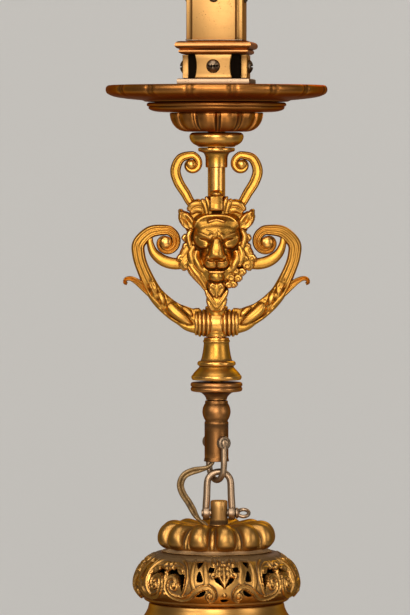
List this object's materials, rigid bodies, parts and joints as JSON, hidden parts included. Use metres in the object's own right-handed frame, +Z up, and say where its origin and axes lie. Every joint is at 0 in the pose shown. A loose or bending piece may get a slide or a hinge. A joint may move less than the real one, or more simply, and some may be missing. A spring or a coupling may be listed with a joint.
{
  "type": "hanging lantern",
  "caption": "Gilt bronze hanging lantern on a rigid post with a lion-mask bracket, a swivel, linked shackles, a lobed dome, a pierced band and a round glass body.",
  "frame": {"origin": "middle of the ceiling face of the ceiling plate", "axes": "+Z up out of the ceiling face, -Y towards the viewer of the front lion mask, +X to the right of the front view"},
  "size_m": [0.2132, 0.2132, 0.7474],
  "materials": {
    "gilt_bronze": "worn gilding over cast bronze",
    "dark_bronze": "brown patina, satin",
    "bright_brass": "lacquered, pitted",
    "copper_bronze": "copper-brown, polished and dulled",
    "worn_bronze": "grey-brown patina with rubbed spots",
    "dark_screws": "browned steel",
    "clear_glass": "clear",
    "white_holder": "matt",
    "gold_flex": "gold tinted"
  },
  "bodies": {
    "suspension": {"ceiling_plate": "bright_brass", "post": "bright_brass", "post_screw_front": "dark_screws", "post_screw_right": "dark_screws", "post_screw_back": "dark_screws", "post_screw_left": "dark_screws", "collar": "copper_bronze", "stem_nut": "bright_brass", "cage_upright_front": "bright_brass", "cage_upright_right": "bright_brass", "cage_upright_back": "bright_brass", "cage_upright_left": "bright_brass", "cage_screw_front": "dark_screws", "cage_screw_right": "dark_screws", "cage_screw_back": "dark_screws", "cage_screw_left": "dark_screws", "cage_core": "dark_bronze", "base_plate": "worn_bronze", "dish": "dark_bronze", "under_ring": "dark_bronze", "bowl": "dark_bronze", "ovolo": "gilt_bronze", "sleeve": "gilt_bronze", "stem": "gilt_bronze", "upper_scroll_left": "gilt_bronze", "upper_scroll_right": "gilt_bronze", "arm_left": "gilt_bronze", "arm_right": "gilt_bronze", "mask_front": "gilt_bronze", "mask_rear": "gilt_bronze", "hub": "gilt_bronze", "column": "gilt_bronze"},
    "swivel": {"spindle": "bright_brass", "swivel_flange": "copper_bronze", "drop_tube": "copper_bronze"},
    "upper_shackle": {"upper_shackle": "worn_bronze", "upper_pin": "worn_bronze"},
    "lower_shackle": {"lower_shackle": "worn_bronze", "lower_pin": "worn_bronze"},
    "lantern_body": {"crown_post": "bright_brass", "crown_nut": "bright_brass", "dome": "gilt_bronze", "pierced_band": "gilt_bronze", "band_lining": "dark_bronze", "roof": "gilt_bronze", "tie_bolt_1": "bright_brass", "tie_bolt_2": "bright_brass", "tie_bolt_3": "bright_brass", "glass": "clear_glass", "lower_ring": "gilt_bronze", "glazing_bar_1": "gilt_bronze", "glazing_bar_2": "gilt_bronze", "glazing_bar_3": "gilt_bronze", "glazing_bar_4": "gilt_bronze", "carrier_tube": "bright_brass", "lampholder": "white_holder", "bulb": "clear_glass", "flex": "gold_flex"}
  },
  "joints": [
    {"name": "swivel_turn", "type": "hinge", "parent": "suspension", "child": "swivel", "pos_m": [0, 0, -0.3448], "axis": [0, 0, 1], "continuous": true},
    {"name": "upper_swing", "type": "hinge", "parent": "swivel", "child": "upper_shackle", "pos_m": [0, 0, -0.394], "axis": [-0.454, 0.891, 0], "range_deg": [-12, 12], "deforming": ["flex"]},
    {"name": "link_swing", "type": "hinge", "parent": "upper_shackle", "child": "lower_shackle", "pos_m": [0, 0, -0.4244], "axis": [-0.454, 0.891, 0], "range_deg": [-12, 12], "deforming": ["flex"]},
    {"name": "body_swing", "type": "hinge", "parent": "lower_shackle", "child": "lantern_body", "pos_m": [0.002, 0, -0.45081], "axis": [1, 0, 0], "range_deg": [-12, 12], "deforming": ["flex"]}
  ]
}
